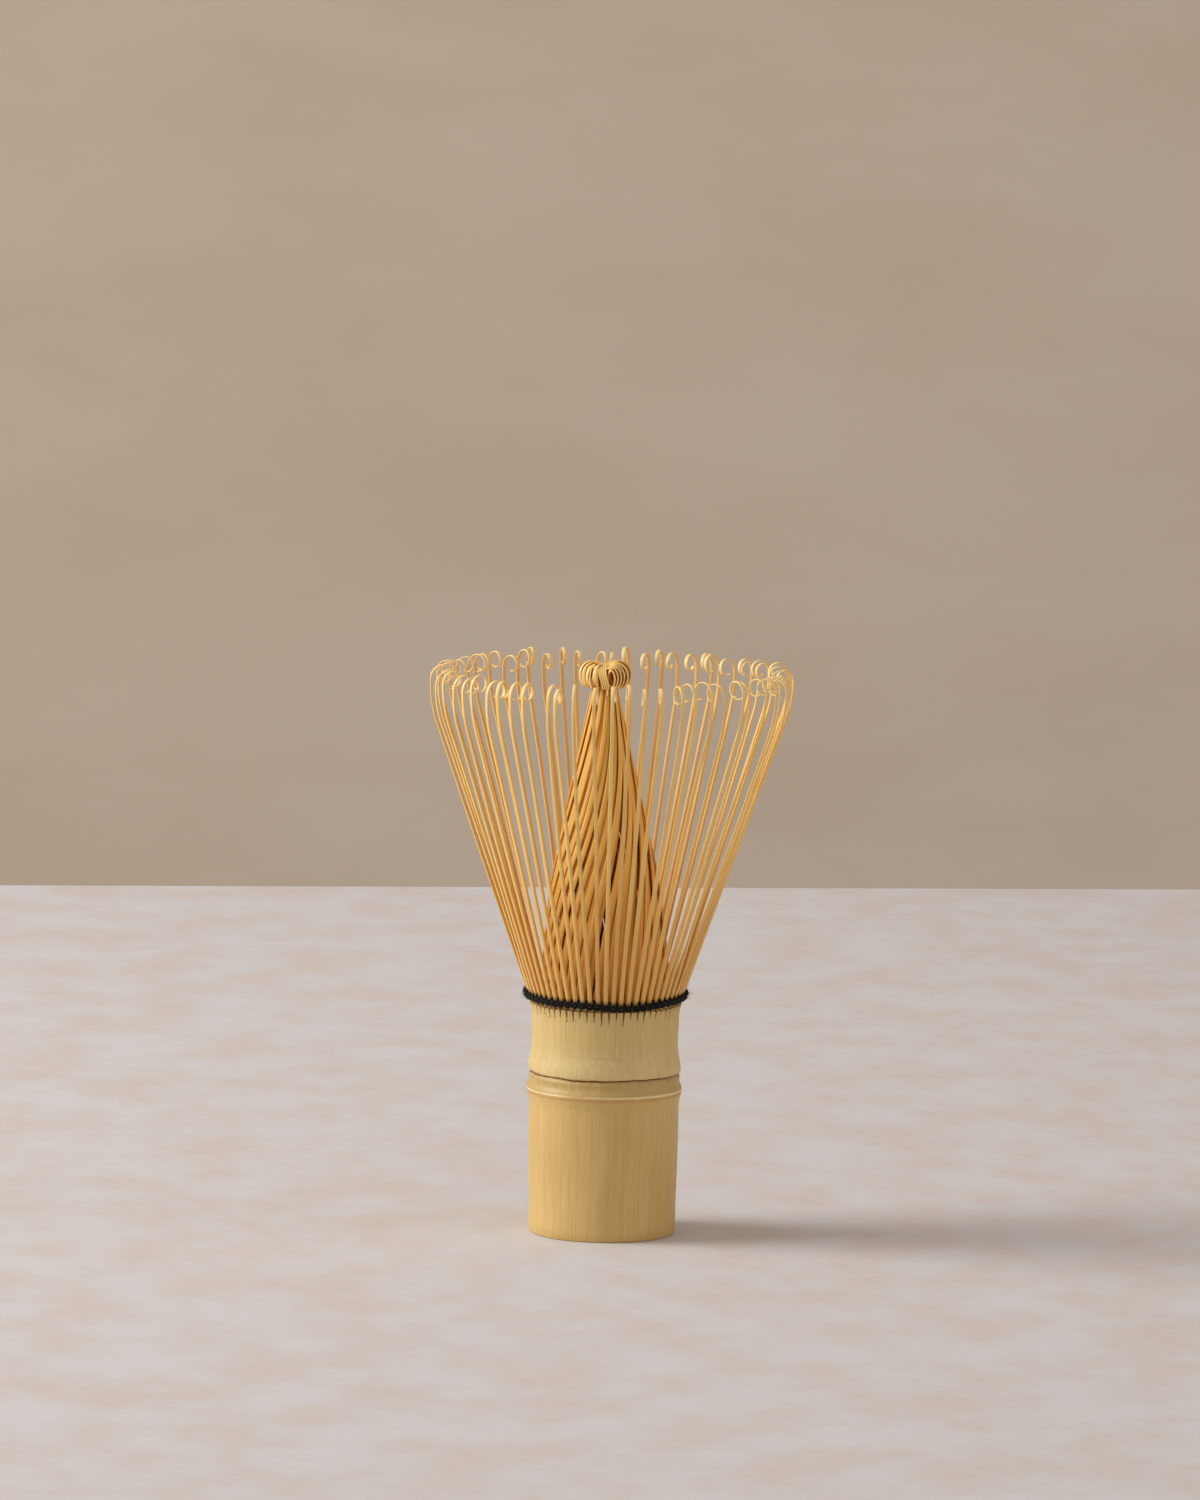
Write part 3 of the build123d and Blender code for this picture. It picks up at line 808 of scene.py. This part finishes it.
def lathe(name, rows, node):
    """A closed skin round the axis. A row turns a column into (radius, azimuth, height, slit)."""
    verts, faces, slit = [], [], []
    for row in rows:
        for column in range(AROUND):
            r, azimuth, z, depth = row(column)
            verts.append(polar(r, azimuth, z) * MM)
            slit.append(depth)
    n = len(rows)
    for i in range(n):
        for k in range(AROUND):
            a, b = i * AROUND + k, i * AROUND + (k + 1) % AROUND
            c, d = ((i + 1) % n) * AROUND + (k + 1) % AROUND, ((i + 1) % n) * AROUND + k
            faces.append((a, b, c, d))
    mesh = bpy.data.meshes.new(name)
    mesh.from_pydata(verts, [], faces)
    mesh.attributes.new("slit", "FLOAT", "POINT").data.foreach_set("value", slit)
    mesh.materials.append(culm_bamboo)
    mesh.update()
    mesh.shade_smooth()
    mesh.set_sharp_from_angle(angle=radians(50))
    obj = bpy.data.objects.new(name, mesh)
    bpy.context.collection.objects.link(obj)
    settle(obj, "handle", node)


def plain(radius, height, rough=0.0):
    """A round row, with some roughness."""
    def row(column):
        azimuth = column * 360 / AROUND
        r = radius + rough * noise.noise(polar(2.5, azimuth, height * 0.4))
        return r, azimuth, height, 0.0
    return row


def skin_row(profile, z):
    """A row of the culm's skin, as uneven as it grew."""
    def row(column):
        azimuth = column * 360 / AROUND
        return read(profile, z) + unevenness(azimuth, z), azimuth, z + node_warp(azimuth, z), 0.0
    return row


def spaced(low, high, step):
    """Heights from low up to but not including high."""
    count = max(1, round((high - low) / step))
    return [mix(low, high, i / count) for i in range(count)]


def lower_handle():
    """The handle below the scar, from the cut end with its worn edge, up the skin and down the bore."""
    profile = wall("lower_culm", 12.4)
    foot_r = profile[0][1]
    heights = (spaced(0.35, 20, 1.6) + spaced(20, 24.4, 0.45) + spaced(24.4, GROOVE_Z - 0.5, 0.16)
               + spaced(GROOVE_Z - 0.5, GROOVE_Z, 0.12) + [GROOVE_Z - 0.001])
    rows = [plain(BORE_R, 0.0), plain(11.2, 0.0), plain(foot_r - 0.05, 0.0), plain(foot_r + 0.12, 0.08)]
    rows += [skin_row(profile, z) for z in heights]
    rows += [plain(SCAR_R, GROOVE_Z), plain(HOLLOW_R, GROOVE_Z), plain(HOLLOW_R, SEPTUM_Z)]
    rows += [plain(BORE_R, SEPTUM_Z)] + [plain(BORE_R, z, 0.06) for z in (22, 18, 14, 10, 6, 3, 1)]
    lathe("lower_handle", rows, "lower_culm")


FINGER_MM = 2 * pi * FOOT_R / (SPLINTS * TINES)  # one finger and one slit, round the binding
SLIT_W = FINGER_MM - TINE_W0
SLIT_FALL = 0.36  # how far the skin falls in at a slit
SLIT_SHAPE = (0, 0, 0, 0.02, 0.12, 1, 1, 1, 0.12, 0.02, 0, 0)  # across one finger's columns


def crown():
    """The upper half of the culm, split into fingers whose slits run down below the thread."""
    profile = [p for p in wall("upper_culm", 12.75) if p[0] < SPLIT_Z + 3.4]
    profile_top = profile[-1][0]
    heights = ([GROOVE_Z + 0.001] + spaced(GROOVE_Z + 0.1, GROOVE_Z + 2.4, 0.16)
               + spaced(GROOVE_Z + 2.4, SPLIT_Z, 0.5))
    fray = Random(7)
    slit_lengths = [fray.uniform(1.9, 3.5) for _ in range(SPLINTS * TINES)]

    def crown_row(t):
        def row(column):
            finger, k = divmod(column, COLUMNS)
            centre = (finger + 0.5) * PITCH
            top = bind_height(centre)
            z = mix(SPLIT_Z, top, t)
            half = SLIT_W / 2 * ramp(z, top - slit_lengths[finger] - 0.25, top - 0.35) ** 0.75
            opened = min(1.0, half / 0.05)
            even = (k - COLUMNS / 2) / COLUMNS * FINGER_MM
            beside_slit = (-FINGER_MM / 2, -FINGER_MM * 0.4, -half - 0.13, -half - 0.045, -half,
                           -half * 0.75, 0.0, half * 0.75,
                           half, half + 0.045, half + 0.13, FINGER_MM * 0.4)
            azimuth = centre + mix(even, beside_slit[k], opened) / FINGER_MM * PITCH
            depth = SLIT_SHAPE[k] * opened
            r = read(profile, min(z, profile_top)) - SLIT_FALL * depth + unevenness(azimuth, z)
            if z > profile_top:
                r += LEAN_SLOPE * (z - profile_top)
            return r, azimuth, z, depth
        return row

    def rim(r):
        def row(column):
            finger, k = divmod(column, COLUMNS)
            azimuth = (finger + 0.5) * PITCH + (k - COLUMNS / 2) / COLUMNS * PITCH
            return r, azimuth, bind_height((finger + 0.5) * PITCH), 0.3
        return row

    rows = [plain(HOLLOW_R, GROOVE_Z), plain(SCAR_R, GROOVE_Z)] + [skin_row(profile, z) for z in heights]
    rows += [crown_row(i / 22) for i in range(23)]
    rows += [rim(12.5), rim(LEDGE_R), plain(LEDGE_R, SPLIT_Z), plain(HOLLOW_R, SPLIT_Z)]
    rows += [plain(HOLLOW_R, z, 0.06) for z in (36.5, 34, 31.5, 29.5)]
    lathe("crown", rows, "upper_culm")


lower_handle()
crown()
septum = frame["nodes"]["node_septum"]
septum.data.materials.clear()
septum.data.materials.append(pith)


# ---------------------------------------------------------------- thread

THREAD_R = 0.27
GAPS = SPLINTS * TINES
FLUFF, LONG_FLUFF = (0.25, 0.62), (0.7, 1.4)


def row_radius(node):
    """The middle line of a row of thread."""
    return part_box(node)[1].x / MM - THREAD_R


OUTER_R, LOWER_R, INNER_R = map(row_radius, ("thread_upper_row", "thread_lower_row", "thread_inner_row"))


def tilted(radius, azimuth, lift):
    """A point of the binding, which slopes down towards the front."""
    return polar(radius, azimuth, BIND_Z + BIND_DROP * sin(radians(azimuth)) * radius / FOOT_R + lift)


def slack(azimuth):
    """The thread was wound by hand and sags a little here and there."""
    a = radians(azimuth)
    away = (azimuth - 288 + 180) % 360 - 180
    return 0.16 * noise.noise(Vector((cos(a) * 1.5, sin(a) * 1.5, 8))) - 0.34 * exp(-(away / 22) ** 2)


def strand(name, node, phase):
    """One of the two strands outside the tines, which cross over in every gap."""
    steps = 10
    path = []
    for i in range(GAPS * steps):
        azimuth = i / steps * PITCH
        cross = cos(i / steps * pi + phase)
        dip = 1 - cos(2 * pi * i / steps)  # 0 over a tine, 2 in a gap
        r = mix(LOWER_R, OUTER_R, 0.5 + 0.5 * cross) + 0.03 - 0.07 * dip
        r += 0.03 * noise.noise(Vector((i, phase, 1)))
        lift = 0.34 * cross + 0.05 * noise.noise(Vector((i * 0.13, phase, 5))) + slack(azimuth)
        path.append(tilted(r, azimuth, lift))
    skin = Skin()
    skin.thread(path, THREAD_R + 0.015, 0.5, sides=10, closed=True)
    settle(skin.build(name, cotton), "handle", node)


def inside_row():
    """The row behind the outer tines, a little wavy."""
    steps = 6
    path = [tilted(INNER_R + 0.06 * cos(i / steps * 2 * pi), i / steps * PITCH, 0.1 * sin(i / steps * pi))
            for i in range(GAPS * steps)]
    skin = Skin()
    skin.thread(path, THREAD_R - 0.01, 0.5, closed=True)
    settle(skin.build("thread_inside", cotton), "handle", "thread_inner_row")


def passes():
    """The thread goes over the strands and in through every gap between two tines."""
    skin = Skin()
    for gap in range(GAPS):
        azimuth = (gap + 0.5) * PITCH
        sag = slack(azimuth)
        peak = whim.uniform(0.72, 1.05)
        wander = whim.uniform(-0.35, 0.35)
        path = curve_through([
            tilted(14.1, azimuth + wander, sag),
            tilted(14.0, azimuth + wander * 0.5, sag + peak * 0.8),
            tilted(13.5, azimuth, sag + peak),
            tilted(13.0, azimuth, peak * 0.6),
            tilted(12.65, azimuth, 0.1)], 10)
        skin.thread(path, 0.21, 0.5)
    settle(skin.build("thread_passes", cotton), "handle", "thread_stitches")


def tie():
    """The end knot, a few turns wound round each other."""
    low, high = (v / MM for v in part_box("thread_knot"))
    middle = (low + high) / 2
    count = 60
    path = []
    for i in range(count):
        t = i / (count - 1)
        a = 2 * pi * 2.6 * t
        rise = -0.16 + 0.32 * t + 0.08 * sin(2 * a)
        path.append(middle + Vector((0.26 * cos(a), 0.2 * sin(a * 1.5 + 0.4), rise)))
    skin = Skin()
    skin.thread(path, 0.15, 0.5)
    settle(skin.build("thread_tie", cotton), "handle", "thread_knot")


def fluff():
    """Short fibres stand off the thread all round, and a few long ones at its right-hand side."""
    skin = Skin()
    for _ in range(900):
        azimuth = whim.uniform(0, 360)
        around = whim.uniform(-1.1, 1.4)
        start = tilted(14.15 + 0.3 * cos(around), azimuth, 0.5 * sin(around) + slack(azimuth))
        stray = Vector([whim.gauss(0, 0.5) for _ in range(3)])
        out = (polar(cos(around), azimuth, sin(around)) + stray).normalized()
        short = azimuth > 12 or whim.random() < 0.7
        length = whim.uniform(*(FLUFF if short else LONG_FLUFF))
        droop = Vector([whim.gauss(0, 0.5) for _ in range(3)])
        path = [start + out * (length * t) + droop * (length * t * t * 0.6) for t in (0, 0.35, 0.7, 1)]
        skin.thread(path, 0.017, 0.9, sides=3, taper=0.7)
    settle(skin.build("thread_fuzz", cotton), "handle")


strand("thread_strand_a", "thread_upper_row", 0.0)
strand("thread_strand_b", "thread_lower_row", pi)
inside_row()
passes()
tie()
fluff()


# ---------------------------------------------------------------- loose fibres

FRAYED_TINES = (4, 19, 29, 45, 47, 58)


def hairs():
    """A few hair-thin fibres have sprung from the shaved tips."""
    for index in FRAYED_TINES:
        frames = tips[index]
        start, out = frames[len(frames) * 2 // 3][:2]
        skin = Skin()
        heading = (Vector((whim.gauss(0, 0.4), whim.gauss(0, 0.4), 0)) - out * 0.8).normalized()
        path = [start + heading * (2.8 * t) - UP * (1.1 * t * t) for t in (0, 0.25, 0.5, 0.75, 1)]
        skin.thread(path, 0.035, 0.1, sides=5, taper=0.8)
        piece = skin.build(f"loose_fibre_{index:02}", outer_bamboo)
        settle(piece, hinges[index // TINES]["child"])


hairs()


# ---------------------------------------------------------------- studio

def studio_material(name, color, other, grain, rough):
    """A matte surface with soft clouds of a second colour. grain is their frequency along each axis."""
    m = Nodes(name)
    cloud = m.noise(m.scaled(*grain), 1.0, 5.0, 0.6)
    shade = m.blend(m.spread(cloud, 0.35, 0.68), color, other)
    return m.set(color=shade, rough=rough, specular=0.1)


def sheet(name, corners, material):
    """A flat piece of the studio."""
    mesh = bpy.data.meshes.new(name)
    mesh.from_pydata([Vector(c) for c in corners], [], [(0, 1, 2, 3)])
    mesh.materials.append(material)
    mesh.update()
    obj = bpy.data.objects.new(name, mesh)
    bpy.context.collection.objects.link(obj)


SKEW = tan(radians(6.0))  # the table's far edge isn't quite square to the view
FAR, WALL = 0.455, 1.0  # metres behind the whisk: the table's far edge and the backdrop
plaster = studio_material("pale_plaster", linear(210, 209, 213), linear(207, 199, 196),
                          (0.06, 0.04, 0.04), 0.75)
cloth = studio_material("beige_cloth", linear(189, 175, 160), linear(183, 169, 153),
                        (0.008, 0.01, 0.02), 0.9)
sheet("floor", ((-3, -3, 0), (3, -3, 0), (3, FAR + 3 * SKEW, 0), (-3, FAR - 3 * SKEW, 0)), plaster)
sheet("backdrop", ((-4, WALL, -1), (4, WALL, -1), (4, WALL, 3), (-4, WALL, 3)), cloth)


def lamp(name, place, aim, size, watts, color):
    light = bpy.data.lights.new(name, "AREA")
    light.shape = "DISK"
    light.size = size
    light.energy = watts
    light.color = color
    obj = bpy.data.objects.new(name, light)
    obj.location = place
    obj.rotation_euler = (Vector(aim) - Vector(place)).to_track_quat("-Z", "Y").to_euler()
    bpy.context.collection.objects.link(obj)


WHISK_MIDDLE = (0, 0, 0.05)
WARM = (1.0, 0.97, 0.93)
lamp("key", (-1.22, -0.05, 0.72), WHISK_MIDDLE, 0.85, 16.6, (1.0, 1.0, 0.97))
lamp("fill", (1.4, -0.3, 0.45), WHISK_MIDDLE, 1.0, 2.3, WARM)
lamp("wall_wash", (-1.2, 0.3, 1.2), (0.2, WALL, 0.1), 0.8, 3, WARM)

world = bpy.data.worlds.new("studio")
world.use_nodes = True
world.node_tree.nodes["Background"].inputs["Color"].default_value = (1.0, 0.9, 0.82, 1)
world.node_tree.nodes["Background"].inputs["Strength"].default_value = 0.54
bpy.context.scene.world = world
bpy.context.scene.view_settings.view_transform = "Standard"

EYE = (-0.00174, -1.7354, 0.2933)
LOOK_DOWN, ROLL = 6.84, 1.0
camera = bpy.data.cameras.new("camera")
camera.lens = 240
camera.sensor_width = 36
camera.clip_end = 50
eye = bpy.data.objects.new("camera", camera)
turned = Matrix.Rotation(radians(90 - LOOK_DOWN), 4, "X") @ Matrix.Rotation(radians(ROLL), 4, "Z")
eye.matrix_world = Matrix.Translation(EYE) @ turned
bpy.context.collection.objects.link(eye)
bpy.context.scene.camera = eye

bpy.context.view_layer.update()
